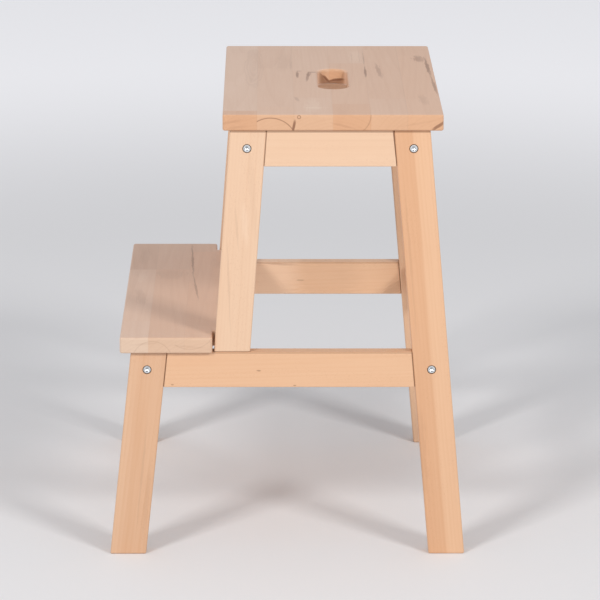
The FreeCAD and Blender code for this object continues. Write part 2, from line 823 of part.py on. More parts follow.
bolts = [bolt(f"{name}_bolt", leg, top) for name, leg, top, _ in bolt_places]
nuts = [barrel_nut(f"{name}_nut", leg, top, back) for name, leg, top, back in bolt_places]
hardware = [("frame_bolts", bolts), ("barrel_nuts", nuts), ("frame_dowels", frame_dowels())]
for name, pieces in hardware:
    right = group("right_" + name, pieces)
    nodes += [right, mirrored("left_" + name, right)]
right_ends = cross_dowels()
left_ends = [mirrored("left_" + item.Label, item) for item in right_ends]
nodes.append(group("cross_rail_dowels", right_ends + left_ends))
nodes.append(group("seat_screws", make_seat_screws()))
nodes.append(group("step_screws", make_step_screws()))

doc.recompute()
for item in doc.Objects:
    if "Invalid" in item.State or "Error" in item.State:
        raise RuntimeError(f"{item.Label} failed: {item.State}")
for item in nodes:
    if item.Shape.isNull() or not item.Shape.isValid():
        raise RuntimeError(f"{item.Label} has no valid shape")

os.makedirs("parts", exist_ok=True)
for item in nodes:
    item.Shape.exportStep(f"parts/{item.Label}.step")
    print(f"{item.Label}: {len(item.Shape.Solids)} solid(s), {item.Shape.Volume:.0f} mm3")
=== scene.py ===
import math
import bmesh
import bpy
from mathutils import Euler, Matrix, Vector


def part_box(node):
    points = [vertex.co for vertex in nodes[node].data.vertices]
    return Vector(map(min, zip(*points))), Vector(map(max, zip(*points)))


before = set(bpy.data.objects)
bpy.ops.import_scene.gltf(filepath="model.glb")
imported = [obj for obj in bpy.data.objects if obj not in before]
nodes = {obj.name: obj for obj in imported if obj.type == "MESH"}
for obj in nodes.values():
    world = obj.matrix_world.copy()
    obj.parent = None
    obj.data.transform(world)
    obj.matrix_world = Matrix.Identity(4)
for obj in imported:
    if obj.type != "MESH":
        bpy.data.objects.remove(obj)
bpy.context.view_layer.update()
print("frame loaded:", len(nodes), "pieces")


def srgb(red, green, blue):
    # an 8-bit screen colour as the linear colour that a shader takes
    channels = []
    for value in (red, green, blue):
        share = value / 255
        channels.append(share / 12.92 if share < 0.04045 else ((share + 0.055) / 1.055) ** 2.4)
    return (*channels, 1.0)


# Shader node helpers

def feed(tree, value, socket):
    if isinstance(value, bpy.types.NodeSocket):
        tree.links.new(value, socket)
    else:
        socket.default_value = value


def addNode(tree, kind, inputs=None, **settings):
    node = tree.nodes.new(kind)
    for name, value in settings.items():
        setattr(node, name, value)
    for name, value in (inputs or {}).items():
        feed(tree, value, node.inputs[name])
    return node


def calc(tree, operation, *values, clamp=False):
    node = addNode(tree, "ShaderNodeMath", operation=operation, use_clamp=clamp)
    for index, value in enumerate(values):
        feed(tree, value, node.inputs[index])
    return node.outputs[0]


def vectorCalc(tree, operation, *values):
    node = addNode(tree, "ShaderNodeVectorMath", operation=operation)
    for index, value in enumerate(values):
        feed(tree, value, node.inputs[index])
    return node.outputs["Value" if operation in ("LENGTH", "DISTANCE", "DOT_PRODUCT") else "Vector"]


def scaled(tree, vector, factor):
    node = addNode(tree, "ShaderNodeVectorMath", {"Vector": vector, "Scale": factor}, operation="SCALE")
    return node.outputs["Vector"]


def separate(tree, vector):
    return addNode(tree, "ShaderNodeSeparateXYZ", {"Vector": vector}).outputs


def combine(tree, x, y, z=0.0):
    return addNode(tree, "ShaderNodeCombineXYZ", {"X": x, "Y": y, "Z": z}).outputs[0]


def objectPlace(tree):
    return addNode(tree, "ShaderNodeTexCoord").outputs["Object"]


def inverse(tree, value, clamp=False):
    return calc(tree, "SUBTRACT", 1.0, value, clamp=clamp)


def ramp(tree, value, low, high, start=0.0, end=1.0):
    # smooth step from low to high
    node = addNode(tree, "ShaderNodeMapRange", interpolation_type="SMOOTHSTEP", clamp=True)
    for index, part in enumerate((value, low, high, start, end)):
        feed(tree, part, node.inputs[index])
    return node.outputs[0]


def mixColour(tree, share, first, second, blend="MIX"):
    node = addNode(tree, "ShaderNodeMix", data_type="RGBA", blend_type=blend, clamp_factor=True)
    for index, value in ((0, share), (6, first), (7, second)):
        feed(tree, value, node.inputs[index])
    return node.outputs[2]


def noise(tree, place, stretch, detail=2.0, roughness=0.5):
    stretched = vectorCalc(tree, "MULTIPLY", place, stretch)
    inputs = {"Vector": stretched, "Scale": 1.0, "Detail": detail, "Roughness": roughness}
    return addNode(tree, "ShaderNodeTexNoise", inputs).outputs[0]


socketKinds = {"value": "NodeSocketFloat", "vector": "NodeSocketVector", "colour": "NodeSocketColor"}


def newGroup(name, inputs, outputs):
    group = bpy.data.node_groups.new(name, "ShaderNodeTree")
    for label, kind, start in inputs:
        socket = group.interface.new_socket(label, in_out="INPUT", socket_type=socketKinds[kind])
        if start is not None:
            socket.default_value = start
    for label, kind in outputs:
        group.interface.new_socket(label, in_out="OUTPUT", socket_type=socketKinds[kind])
    source = group.nodes.new("NodeGroupInput")
    result = group.nodes.new("NodeGroupOutput")
    return group, source.outputs, result.inputs


def useGroup(tree, group, inputs):
    node = addNode(tree, "ShaderNodeGroup", node_tree=group)
    for name, value in inputs.items():
        feed(tree, value, node.inputs[name])
    return node.outputs


# Beech, as a solid: x runs along the grain, and the heart of the tree is the line y = z = 0.
# "repeats" says how often each figure comes in a metre, along the grain and across it.
beechFigure = {
    "repeats": {
        "bend": (3.2, 22, 22),
        "cloud": (5, 26, 26),
        "broad": (1.6, 70, 70),
        "fine": (11, 420, 420),
        "fibre": (55, 2400, 2400),
        "fleck": (230, 1100, 1100),
        "fleckPatch": (9, 60, 60),
    },
    "seedShift": (1.7, 0.37, -0.73),
    "lateWood": (0.25, 0.93, 1.0),  # where a ring starts to darken, is darkest and ends
    "weakRing": 0.2,
    "cloudShare": 0.40,
    "broadShare": 0.30,
    "fineShare": 0.30,
    "streakGain": 2.0,
    "warmth": (-0.07, -0.14),  # what full warmth takes from green and from blue
    "fleckTint": (0.72, 0.62, 0.55, 1),
    "poreShare": 0.16,
    "roughness": {"plain": 0.33, "fine": 0.10, "end": 0.12, "fleck": 0.08},
    "height": {"fibre": 0.5, "rings": -0.15, "fleck": 0.3},
}


def makeBeech():
    tree, source, result = newGroup(
        "beech",
        [
            ("Vector", "vector", None),
            ("Seed", "value", 0.0),
            ("Ring Width", "value", 0.003),
            ("Wander", "value", 0.003),
            ("Rings", "value", 0.12),
            ("Streaks", "value", 0.3),
            ("Flecks", "value", 0.2),
            ("Tone", "value", 0.15),
            ("Warmth", "value", 0.0),
            ("End", "value", 0.0),
            ("End Tint", "colour", (0.85, 0.75, 0.62, 1)),
            ("Light", "colour", (0.8, 0.6, 0.4, 1)),
            ("Dark", "colour", (0.6, 0.4, 0.2, 1)),
        ],
        [("Color", "colour"), ("Roughness", "value"), ("Height", "value")],
    )
    repeats = beechFigure["repeats"]
    split = separate(tree, source["Vector"])
    radius = vectorCalc(tree, "LENGTH", combine(tree, 0.0, split["Y"], split["Z"]))
    shift = [calc(tree, "MULTIPLY", source["Seed"], step) for step in beechFigure["seedShift"]]
    place = vectorCalc(tree, "ADD", source["Vector"], combine(tree, *shift))
    # growth rings, each with its own strength, wandering along the grain
    bend = calc(tree, "SUBTRACT", noise(tree, place, repeats["bend"], 3.0), 0.5)
    phase = calc(tree, "ADD", radius, calc(tree, "MULTIPLY", bend, source["Wander"]))
    phase = calc(tree, "DIVIDE", phase, source["Ring Width"])
    share = calc(tree, "FRACT", phase)
    number = calc(tree, "FLOOR", phase)
    picked = addNode(tree, "ShaderNodeTexWhiteNoise", {"W": number}, noise_dimensions="1D").outputs[0]
    begin, darkest, last = beechFigure["lateWood"]
    late = ramp(tree, share, begin, darkest)
    late = calc(tree, "MULTIPLY", late, ramp(tree, share, darkest, last, 1.0, 0.0))
    weakest = beechFigure["weakRing"]
    rings = calc(tree, "MULTIPLY", late, calc(tree, "MULTIPLY_ADD", picked, 1 - weakest, weakest))
    # clouds, broad streaks, fine streaks and fibres
    cloud = noise(tree, place, repeats["cloud"])
    broad = noise(tree, place, repeats["broad"], 3.0, 0.55)
    fine = noise(tree, place, repeats["fine"], 3.0, 0.6)
    fibre = noise(tree, place, repeats["fibre"], 2.0, 0.6)
    shade = calc(tree, "MULTIPLY", broad, beechFigure["broadShare"])
    shade = calc(tree, "MULTIPLY_ADD", cloud, beechFigure["cloudShare"], shade)
    shade = calc(tree, "MULTIPLY_ADD", fine, beechFigure["fineShare"], shade)
    shade = calc(tree, "MULTIPLY", calc(tree, "SUBTRACT", shade, 0.5), source["Streaks"])
    # ray flecks, short dark spindles in patches, not on end grain
    cell = vectorCalc(tree, "MULTIPLY", place, repeats["fleck"])
    flecks = addNode(tree, "ShaderNodeTexVoronoi", {"Vector": cell, "Scale": 1.0}).outputs["Distance"]
    patch = ramp(tree, noise(tree, place, repeats["fleckPatch"]), 0.42, 0.62)
    flecks = calc(tree, "MULTIPLY", ramp(tree, flecks, 0.16, 0.34, 1.0, 0.0), patch)
    flecks = calc(tree, "MULTIPLY", flecks, inverse(tree, source["End"], clamp=True))
    tone = calc(tree, "MULTIPLY_ADD", rings, source["Rings"], source["Tone"])
    tone = calc(tree, "MULTIPLY_ADD", shade, beechFigure["streakGain"], tone, clamp=True)
    colour = mixColour(tree, tone, source["Light"], source["Dark"])
    # warm wood is redder, cool wood is greyer
    tint = [calc(tree, "MULTIPLY_ADD", source["Warmth"], change, 1.0) for change in beechFigure["warmth"]]
    colour = vectorCalc(tree, "MULTIPLY", colour, combine(tree, 1.0, *tint))
    colour = mixColour(tree, source["End"], colour, source["End Tint"], "MULTIPLY")
    speck = calc(tree, "MULTIPLY", flecks, source["Flecks"])
    darker = mixColour(tree, 1.0, source["Dark"], beechFigure["fleckTint"], "MULTIPLY")
    colour = mixColour(tree, speck, colour, darker)
    pores = calc(tree, "MULTIPLY", calc(tree, "SUBTRACT", fibre, 0.5, clamp=True), beechFigure["poreShare"])
    feed(tree, mixColour(tree, pores, colour, darker), result["Color"])
    rough = beechFigure["roughness"]
    total = calc(tree, "MULTIPLY_ADD", fine, rough["fine"], rough["plain"])
    total = calc(tree, "MULTIPLY_ADD", source["End"], rough["end"], total)
    feed(tree, calc(tree, "MULTIPLY_ADD", speck, rough["fleck"], total), result["Roughness"])
    raised = beechFigure["height"]
    height = calc(tree, "MULTIPLY", rings, raised["rings"])
    height = calc(tree, "MULTIPLY_ADD", fibre, raised["fibre"], height)
    pits = calc(tree, "MULTIPLY", flecks, raised["fleck"])
    feed(tree, calc(tree, "SUBTRACT", height, pits), result["Height"])
    return tree


# One soft mark on a face: a spindle with ragged edges, turned on the face
markShape = {"repeats": (45, 420, 0), "ragged": 1.4, "full": 0.02, "end": 0.27}


def makeMark():
    tree, source, result = newGroup(
        "softMark",
        [
            ("Vector", "vector", None),
            ("Centre", "vector", (0, 0, 0)),
            ("Length", "value", 0.05),
            ("Width", "value", 0.003),
            ("Turn", "value", 0.0),
        ],
        [("Mask", "value")],
    )
    place = vectorCalc(tree, "SUBTRACT", source["Vector"], source["Centre"])
    turned = addNode(tree, "ShaderNodeVectorRotate", {"Vector": place, "Angle": source["Turn"]},
                     rotation_type="Z_AXIS").outputs[0]
    ragged = calc(tree, "SUBTRACT", noise(tree, turned, markShape["repeats"], 3.0, 0.6), 0.5)
    split = separate(tree, turned)
    along = calc(tree, "DIVIDE", split["X"], source["Length"])
    side = calc(tree, "DIVIDE", split["Y"], source["Width"])
    side = calc(tree, "ADD", side, calc(tree, "MULTIPLY", ragged, markShape["ragged"]))
    reach = calc(tree, "ADD", calc(tree, "MULTIPLY", along, along), calc(tree, "MULTIPLY", side, side))
    feed(tree, ramp(tree, reach, markShape["full"], markShape["end"], 1.0, 0.0), result["Mask"])
    return tree


# A thin dark growth line round a centre, seen on end grain
def makeArc():
    tree, source, result = newGroup(
        "growthLine",
        [
            ("Vector", "vector", None),
            ("Centre", "vector", (0, 0, 0)),
            ("Radius", "value", 0.02),
            ("Width", "value", 0.0006),
        ],
        [("Mask", "value")],
    )
    away = vectorCalc(tree, "DISTANCE", source["Vector"], source["Centre"])
    away = calc(tree, "ABSOLUTE", calc(tree, "SUBTRACT", away, source["Radius"]))
    feed(tree, ramp(tree, calc(tree, "DIVIDE", away, source["Width"]), 0.4, 1.0, 1.0, 0.0), result["Mask"])
    return tree


# Painted shade beyond a plane, as where a face runs into another piece: dark beyond the plane, soft over its
# width
def makeSeamShade():
    tree, source, result = newGroup(
        "seamShade",
        [
            ("Vector", "vector", None),
            ("Point", "vector", (0, 0, 0)),
            ("Outward", "vector", (0, 0, 1)),
            ("Width", "value", 0.0006),
        ],
        [("Mask", "value")],
    )
    away = vectorCalc(tree, "SUBTRACT", source["Vector"], source["Point"])
    away = calc(tree, "DIVIDE", vectorCalc(tree, "DOT_PRODUCT", away, source["Outward"]), source["Width"])
    feed(tree, ramp(tree, away, -1.0, 0.0), result["Mask"])
    return tree


beech = makeBeech()
softMark = makeMark()
growthLine = makeArc()
seamShade = makeSeamShade()

beechColours = {
    "light": srgb(228, 194, 164),
    "dark": srgb(198, 141, 96),
    "boardLight": srgb(230, 193, 167),
    "boardDark": srgb(196, 148, 116),
    # dark marks and glue lines, and also painted shade; pale marks, and also painted light
    "markAndShade": srgb(122, 76, 48),
    "paleMarkAndLight": srgb(246, 222, 200),
    # the colour of the painted shade in the seams and crevices between pieces
    "seamShadeColour": srgb(112, 70, 44),
    "coat": 0.12,
    "coatRoughness": 0.32,
    "bump": 0.16,
    "grainDepth": 0.0003,
}


def faceMask(tree, axis, low=0.82, high=0.97):
    # 1 on a face that lies square to an axis; along the grain, that is end grain
    normal = addNode(tree, "ShaderNodeNewGeometry").outputs["Normal"]
    facing = calc(tree, "ABSOLUTE", vectorCalc(tree, "DOT_PRODUCT", normal, axis))
    return ramp(tree, facing, low, high)


def newMaterial(name):
    material = bpy.data.materials.new(name)
    material.use_nodes = True
    tree = material.node_tree
    shader = tree.nodes["Principled BSDF"]
    return material, tree, shader


def finishWood(tree, shader, grain, colour):
    feed(tree, colour, shader.inputs["Base Color"])
    feed(tree, grain["Roughness"], shader.inputs["Roughness"])
    bump = addNode(tree, "ShaderNodeBump", {
        "Strength": beechColours["bump"],
        "Distance": beechColours["grainDepth"],
        "Height": grain["Height"],
    })
    feed(tree, bump.outputs["Normal"], shader.inputs["Normal"])
    shader.inputs["Coat Weight"].default_value = beechColours["coat"]
    shader.inputs["Coat Roughness"].default_value = beechColours["coatRoughness"]


def grainAxis(node, along):
    # from the middle of one end of a member to the middle of the other
    points = [vertex.co for vertex in nodes[node].data.vertices]
    low = min(point[along] for point in points)
    high = max(point[along] for point in points)
    margin = 0.003
    ends = []
    for near in (low, high):
        group = [point for point in points if abs(point[along] - near) < margin]
        ends.append(sum(group, Vector()) / len(group))
    return (ends[1] - ends[0]).normalized(), (ends[0] + ends[1]) / 2


# Each member of the frame: where its heart line lies, how dark, warm and streaky it is.
# "along" is the axis it mostly follows: 0 side to side, 1 front to back, 2 up.
# "band" is a darker strip: its edge off the middle, its softness, its strength.
# "marksAndShading" lie on the side faces: middle y and z, length, width, turn in degrees, strength (pale
# below 0); most are wood marks, and a few are painted shade and painted light.
memberSettings = {
    "right_upper_front_leg": {
        "along": 2, "heart": (60, -46), "seed": 1.3, "tone": 0.10, "warmth": -0.1, "streaks": 0.22,
        "marksAndShading": [(-56, 372, 60, 3, 94, 0.10), (-65, 306, 130, 2.5, 92, 0.11), (-47, 377, 60, 9, 94, -0.16),
                  (-38, 405, 120, 9, 94, 0.05)],
    },
    "right_rear_leg": {
        "along": 2, "heart": (-90, 40), "seed": 2.1, "tone": 0.15, "warmth": 1.3, "streaks": 0.26,
        "band": (0.4, 1.5, 0.24),
        "marksAndShading": [(150, 120, 120, 14, 95, 0.10), (136, 330, 200, 3, 95, 0.10)],
    },
    "right_lower_front_leg": {
        "along": 2, "heart": (75, 50), "seed": 3.7, "tone": 0.45, "warmth": 0.1, "streaks": 0.34,
        "band": (-9, 6, -0.10),
        "marksAndShading": [(-163, 90, 150, 3, 84, 0.12), (-158, 60, 110, 7, 84, 0.08)],
    },
    "right_top_side_rail": {
        "along": 1, "heart": (80, -38), "seed": 4.4, "tone": 0.09, "warmth": 0.1, "streaks": 0.20,
    },
    "right_lower_side_rail": {
        "along": 1, "heart": (54, 68), "seed": 5.2, "tone": 0.15, "warmth": 1.3, "streaks": 0.26,
        "marksAndShading": [(-32, 212, 6, 1.6, 0, 0.5), (8, 195, 4, 1.4, 0, 0.5), (-128, 196, 4, 1.4, 0, 0.5)],
    },
    "left_upper_front_leg": {
        "along": 2, "heart": (-65, 53), "seed": 6.1, "tone": 0.20, "warmth": 0.1, "streaks": 0.3,
    },
    "left_rear_leg": {
        "along": 2, "heart": (68, -60), "seed": 7.9, "tone": 0.30, "warmth": 0.2, "streaks": 0.3,
    },
    "left_lower_front_leg": {
        "along": 2, "heart": (-50, -72), "seed": 8.3, "tone": 0.30, "warmth": 0.1, "streaks": 0.3,
    },
    "left_top_side_rail": {
        "along": 1, "heart": (-70, 48), "seed": 9.6, "tone": 0.18, "warmth": 0.0, "streaks": 0.25,
    },
    # its first mark is painted shade in the middle, its second painted light at the left end, and its last a
    # painted shadow in the lower right corner
    "left_lower_side_rail": {
        "along": 1, "heart": (46, 60), "seed": 10.5, "tone": 0.0, "warmth": 1.1, "streaks": 0.40,
        "marksAndShading": [(48, 213, 110, 110, 0, 0.12), (-20, 213, 90, 120, 0, -0.25), (-8, 230.5, 56, 3, -3, 0.25),
                  (18, 210, 12, 2, 0, 0.3), (134, 199, 46, 18, 38, 0.20)],
    },
    "upper_front_cross_rail": {
        "along": 0, "heart": (60, 50), "seed": 11.2, "tone": 0.18, "warmth": 0.0, "streaks": 0.25,
    },
    "upper_rear_cross_rail": {
        "along": 0, "heart": (-56, 54), "seed": 12.8, "tone": 0.14, "warmth": -0.1, "streaks": 0.25,
    },
    "lower_front_cross_rail": {
        "along": 0, "heart": (48, -64), "seed": 13.4, "tone": 0.24, "warmth": 0.1, "streaks": 0.3,
    },
    "lower_rear_cross_rail": {
        "along": 0, "heart": (72, 46), "seed": 14.9, "tone": 0.18, "warmth": 0.0, "streaks": 0.25,
    },
}
memberFigure = {"Ring Width": 0.0034, "Wander": 0.005, "Rings": 0.10, "Flecks": 0.16}
heartTilt = math.radians(0.8)  # the heart line is never quite parallel to the cut

# Painted shade in the seams between the pieces: two points (y, z) on the seam's edge, its softness and its
# strength
seamShading = {
    "underSeat": ((-90, 480.2), (180, 480.2), 0.8, 0.55),
    "underStep": ((-200, 231.8), (140, 231.8), 0.7, 0.40),
    "legFoot": ((-90, 233.9), (-30, 233.9), 0.6, 0.45),
    "topRailFront": ((-22.7, 482), (-25.6, 442), 0.4, 0.60),
    "topRailRear": ((114.9, 482), (119.3, 442), 0.4, 0.85),
    "lowRailFront": ((-133.1, 233), (-137.4, 193), 0.4, 0.80),
    "lowRailRear": ((137.5, 233), (141.0, 193), 0.4, 0.70),
}
seamShadingOf = {
    "upper_front_leg": ("underSeat", "legFoot"),
    "rear_leg": ("underSeat",),
    "lower_front_leg": ("underStep",),
    "top_side_rail": ("underSeat", "topRailFront", "topRailRear"),
    "lower_side_rail": ("underStep", "lowRailFront", "lowRailRear"),
}


def squareTo(start, end):
    # across the line through two points (y, z) of a side face
    return Vector((0, end[1] - start[1], start[0] - end[0])).normalized()


def addMarksAndShading(tree, colour, plane, marksAndShading, cover=None):
    # soft dark or pale marks on a plane given in metres, some of them painted shade and painted light; cover
    # limits them to some faces
    for first, second, length, width, degrees, strength in marksAndShading:
        mask = useGroup(tree, softMark, {
            "Vector": plane,
            "Centre": (first / 1000, second / 1000, 0),
            "Length": length / 1000,
            "Width": width / 1000,
            "Turn": math.radians(-degrees),
        })["Mask"]
        share = calc(tree, "MULTIPLY", mask, abs(strength))
        if cover is not None:
            share = calc(tree, "MULTIPLY", share, cover)
        paint = beechColours["markAndShade"] if strength > 0 else beechColours["paleMarkAndLight"]
        colour = mixColour(tree, share, colour, paint)
    return colour


def paintSeamShading(tree, colour, place, names, middle):
    # painted shade at the seams; it stays off the top and bottom faces
    upright = inverse(tree, faceMask(tree, (0, 0, 1), 0.5, 0.9))
    for name in names:
        start, end, softness, strength = seamShading[name]
        outward = squareTo(start, end)
        point = Vector((0, *start)) / 1000
        if (middle - point).dot(outward) > 0:
            outward = -outward
        mask = useGroup(tree, seamShade, {
            "Vector": place,
            "Point": tuple(point),
            "Outward": tuple(outward),
            "Width": softness / 1000,
        })["Mask"]
        share = calc(tree, "MULTIPLY", calc(tree, "MULTIPLY", mask, upright), strength)
        colour = mixColour(tree, share, colour, beechColours["seamShadeColour"])
    return colour


def dressMember(node, settings):
    axis, middle = grainAxis(node, settings["along"])
    material, tree, shader = newMaterial("beech_" + node)
    turn = axis.rotation_difference(Vector((1, 0, 0))).to_matrix()
    turn = Matrix.Rotation(heartTilt, 3, "Y") @ turn
    toGrain = turn.to_4x4() @ Matrix.Translation(-middle)
    heart = Vector((0, *settings["heart"])) / 1000
    place = objectPlace(tree)
    mapped = addNode(tree, "ShaderNodeMapping", {"Vector": place}, vector_type="POINT")
    mapped.inputs["Rotation"].default_value = toGrain.to_euler("XYZ")
    mapped.inputs["Location"].default_value = toGrain.translation - heart
    tone = settings["tone"]
    if "band" in settings:
        # the strip's edge follows the grain, and lies to the front of it
        edge, softness, strength = settings["band"]
        side = vectorCalc(tree, "DOT_PRODUCT", vectorCalc(tree, "SUBTRACT", place, tuple(middle)),
                          tuple(Vector((0, 1, 0)) - axis * axis.y))
        strip = ramp(tree, side, (edge - softness) / 1000, (edge + softness) / 1000, strength, 0.0)
        tone = calc(tree, "ADD", strip, tone)
    grain = useGroup(tree, beech, {
        **memberFigure,
        "Vector": mapped.outputs[0],
        "Seed": settings["seed"],
        "Streaks": settings["streaks"],
        "Tone": tone,
        "Warmth": settings["warmth"],
        "End": faceMask(tree, tuple(axis)),
        "Light": beechColours["light"],
        "Dark": beechColours["dark"],
    })
    split = separate(tree, place)
    plane = combine(tree, split["Y"], split["Z"])
    colour = addMarksAndShading(tree, grain["Color"], plane, settings.get("marksAndShading", ()))
    names = [name for ending, group in seamShadingOf.items() if node.endswith(ending) for name in group]
    colour = paintSeamShading(tree, colour, place, names, middle)
    finishWood(tree, shader, grain, colour)
    setMaterial(node, material)


def setMaterial(node, material):
    piece = nodes[node]
    piece.data.materials.clear()
    piece.data.materials.append(material)


for name, settings in memberSettings.items():
    dressMember(name, settings)
print("frame members dressed")


# Boards: edge-glued staves that run side to side. Lengths are in millimetres. A stave has its width, the
# places of its two end joints (x, from the left), and for each of its three lengths, from left to right,
# a tone from 0 to 1, a warmth, and the heart line's place behind the stave's middle and below the top.
seatSettings = {
    "node": "seat_board",
    "endTint": (0.86, 0.76, 0.63, 1),
    "staves": [
        {"width": 37.4, "joints": (-150, 174), "tone": (0.10, 0.09, 0.22), "warmth": (-0.9, -0.8, 0.5),
         "back": (12, -8, 26), "below": (46, 60, 60)},
        {"width": 40.6, "joints": (-60, 152), "tone": (0.18, 0.13, 0.10), "warmth": (-0.5, -0.4, -0.2),
         "back": (-14, 20, 8), "below": (64, 74, 40)},
        {"width": 42.6, "joints": (-46, 104), "tone": (0.12, 0.12, 0.10), "warmth": (-0.4, -0.2, -0.4),
         "back": (60, -70, 24), "below": (40, 70, 70)},
        {"width": 41.4, "joints": (-88, 138), "tone": (0.11, 0.14, 0.19), "warmth": (-0.3, 0.2, 0.6),
         "back": (40, -40, -24), "below": (55, 66, 72)},
        {"width": 40.3, "joints": (-170, 110), "tone": (0.16, 0.15, 0.14), "warmth": (0.1, 0.1, -0.1),
         "back": (-46, 32, 50), "below": (60, 64, 58)},
        {"width": 39.6, "joints": (-136, 110), "tone": (0.16, 0.12, 0.12), "warmth": (0.3, 0.4, 0.3),
         "back": (30, -44, 38), "below": (62, 58, 66)},
    ],
    # marks on the top: centre x and y, length, width, turn in degrees, strength (pale below 0)
    "marksAndShading": [
        (-24, 12.2, 46, 3.6, 0, 0.62),
        (-43, 14, 5, 8, 0, 0.40),
        (-12, 24, 64, 4, -3, 0.50),
        (-27, 25.4, 30, 6.5, -3, 0.40),
        (-37, 30, 7, 14, -12, 0.42),
        (-118, 91, 92, 1.8, 0, 0.30),
        (-40, 91, 76, 3.2, 0, 0.62),
        (-47, 106.5, 104, 6.5, 3, 0.34),
        (112, 10.5, 30, 5, 10, 0.22),
        (146, 27, 92, 20, 0, -0.22),
        (158, 29, 12, 26, 0, -0.30),
        (-130, 81, 92, 17, 0, -0.20),
        (-130, 77, 90, 1.6, 0, 0.12),
        (-130, 86, 90, 1.6, 0, 0.12),
        (-116, 155, 46, 15, 4, 0.40),
        (-72, 164.2, 130, 5, 1.2, 0.62),
        (34, 167, 130, 4, 1.6, 0.50),
        (116, 151, 66, 12, 5, 0.14),
        (-92, -4, 128, 20, 0, 0.07),
        (-92, 5, 128, 3, 0, 0.12),
    ],
    # faint nested ovals on the top: middle x and y, half length, half width, strength
    "ovals": [(-60, -38, 116, 12, 0.08), (-66, -38, 88, 8.6, 0.10), (-70, -38, 58, 5.4, 0.09),
              (-74, -38, 26, 2.6, 0.06)],
    # growth lines on the near and far edges: centre y and z, radius, width, strength, from y, to y
    "arcs": [(-19.1, 466.9, 29.5, 0.8, 0.60, -34, 5.5), (69.2, 499.5, 21.6, 0.9, 0.30, 72, 92),
             (12.2, 497.4, 1.7, 0.8, 0.55, 9, 15)],
    # marks on the edges: middle y and z, length, width, turn, strength
    "edgeMarks": [(6.6, 487.5, 17, 3.2, 82, 0.80), (164.5, 487.6, 22, 4.2, 36, 0.70),
                  (-62, 492, 30, 3, 12, 0.14), (-56, 486, 26, 3, 8, 0.12), (60, 488, 34, 3, -14, 0.14),
                  (140, 490, 50, 2.5, 10, 0.08)],
    # marks on the walls of the hand slot, and painted shade on the wall's lower part, below a growth line
    "slotMarks": [(46, 489, 14, 2.6, -48, 0.8), (58, 487.6, 26, 3, 11, 0.8), (66, 493, 12, 5, 80, 0.35)],
    "slotShade": [((42.3, 492.2), (48.1, 485.5)), ((48.1, 485.5), (65.5, 489))],
}
stepSettings = {
    "node": "step_board",
    "endTint": (0.88, 0.91, 0.89, 1),
    "staves": [
        {"width": 31.5, "joints": (-86, 140), "tone": (0.36, 0.08, 0.08), "warmth": (-0.8, -0.7, -0.9),
         "back": (16, -30, 30), "below": (60, 60, 70)},
        {"width": 40.0, "joints": (-86, 250), "tone": (0.26, 0.16, 0.10), "warmth": (-0.6, 0.0, -0.2),
         "back": (-30, 42, 0), "below": (72, 58, 60)},
        {"width": 40.0, "joints": (-170, 160), "tone": (0.24, 0.17, 0.12), "warmth": (-0.4, 0.2, 0.2),
         "back": (24, -40, 12), "below": (64, 66, 70)},
        {"width": 28.5, "joints": (-120, 100), "tone": (0.24, 0.20, 0.16), "warmth": (0.2, 0.2, 0.2),
         "back": (-18, 26, -30), "below": (60, 62, 54)},
    ],
    "marksAndShading": [
        (-132, -112, 170, 3.4, 1.7, 0.50),
        (-6, -105.8, 130, 3.0, 4.2, 0.42),
        (-62, -137, 52, 40, 0, 0.10),
        (36, -169, 84, 14, 6, 0.12),
        (-150, -170, 90, 16, 0, 0.08),
        (-47, -171, 50, 14, 0, -0.18),
        (-130, -80, 90, 24, 0, 0.08),
    ],
    "ovals": [],
    "arcs": [(-150, 225, 22, 0.8, 0.14, -186, -125), (-108, 268, 30, 0.8, 0.12, -125, -80)],
    "edgeMarks": [(-160, 244, 40, 2.5, 4, 0.08), (-110, 241, 46, 2.5, -5, 0.08)],
    "slotMarks": [],
    "slotShade": [],
}
boardFigure = {"Ring Width": 0.0040, "Wander": 0.007, "Rings": 0.09, "Streaks": 0.22, "Flecks": 0.14}
seedShares = {"heart": 0.31, "below": 0.17}
glueLine = {"full": 0.1, "end": 0.5, "strength": 0.06}
# the slot's walls lie within 70 mm of the middle, fading out by 80 mm; softness and strength are for the
# painted shade on their lower part
slotWall = {"full": 70, "end": 80, "softness": 0.8, "strength": 0.62}
ovalShape = {"repeats": (28, 120, 0), "wander": 0.5, "lineWidth": 1.6}
sideRange = (-300, 300)  # every x and y of a stave lies in it


def staveRamp(tree, share, staves, key, low, high):
    # one constant ramp whose three channels hold a value for each of a stave's three lengths
    node = addNode(tree, "ShaderNodeValToRGB", {"Fac": share})
    node.color_ramp.interpolation = "CONSTANT"
    total = sum(stave["width"] for stave in staves)
    start = 0.0
    for index, stave in enumerate(staves):
        values = [(value - low) / (high - low) for value in stave[key]]
        element = node.color_ramp.elements[0] if index == 0 else node.color_ramp.elements.new(start / total)
        element.color = (*values, 1.0)
        start += stave["width"]
    last = node.color_ramp.elements[-1]
    if last.position == 1.0:
        node.color_ramp.elements.remove(last)
    channels = addNode(tree, "ShaderNodeSeparateColor", {"Color": node.outputs["Color"]}).outputs
    return [calc(tree, "MULTIPLY_ADD", channel, high - low, low) for channel in channels]


def pick(tree, values, past):
    # the value for the length of the stave that a point lies in
    first = calc(tree, "MULTIPLY_ADD", calc(tree, "SUBTRACT", values[1], values[0]), past[0], values[0])
    return calc(tree, "MULTIPLY_ADD", calc(tree, "SUBTRACT", values[2], values[1]), past[1], first)


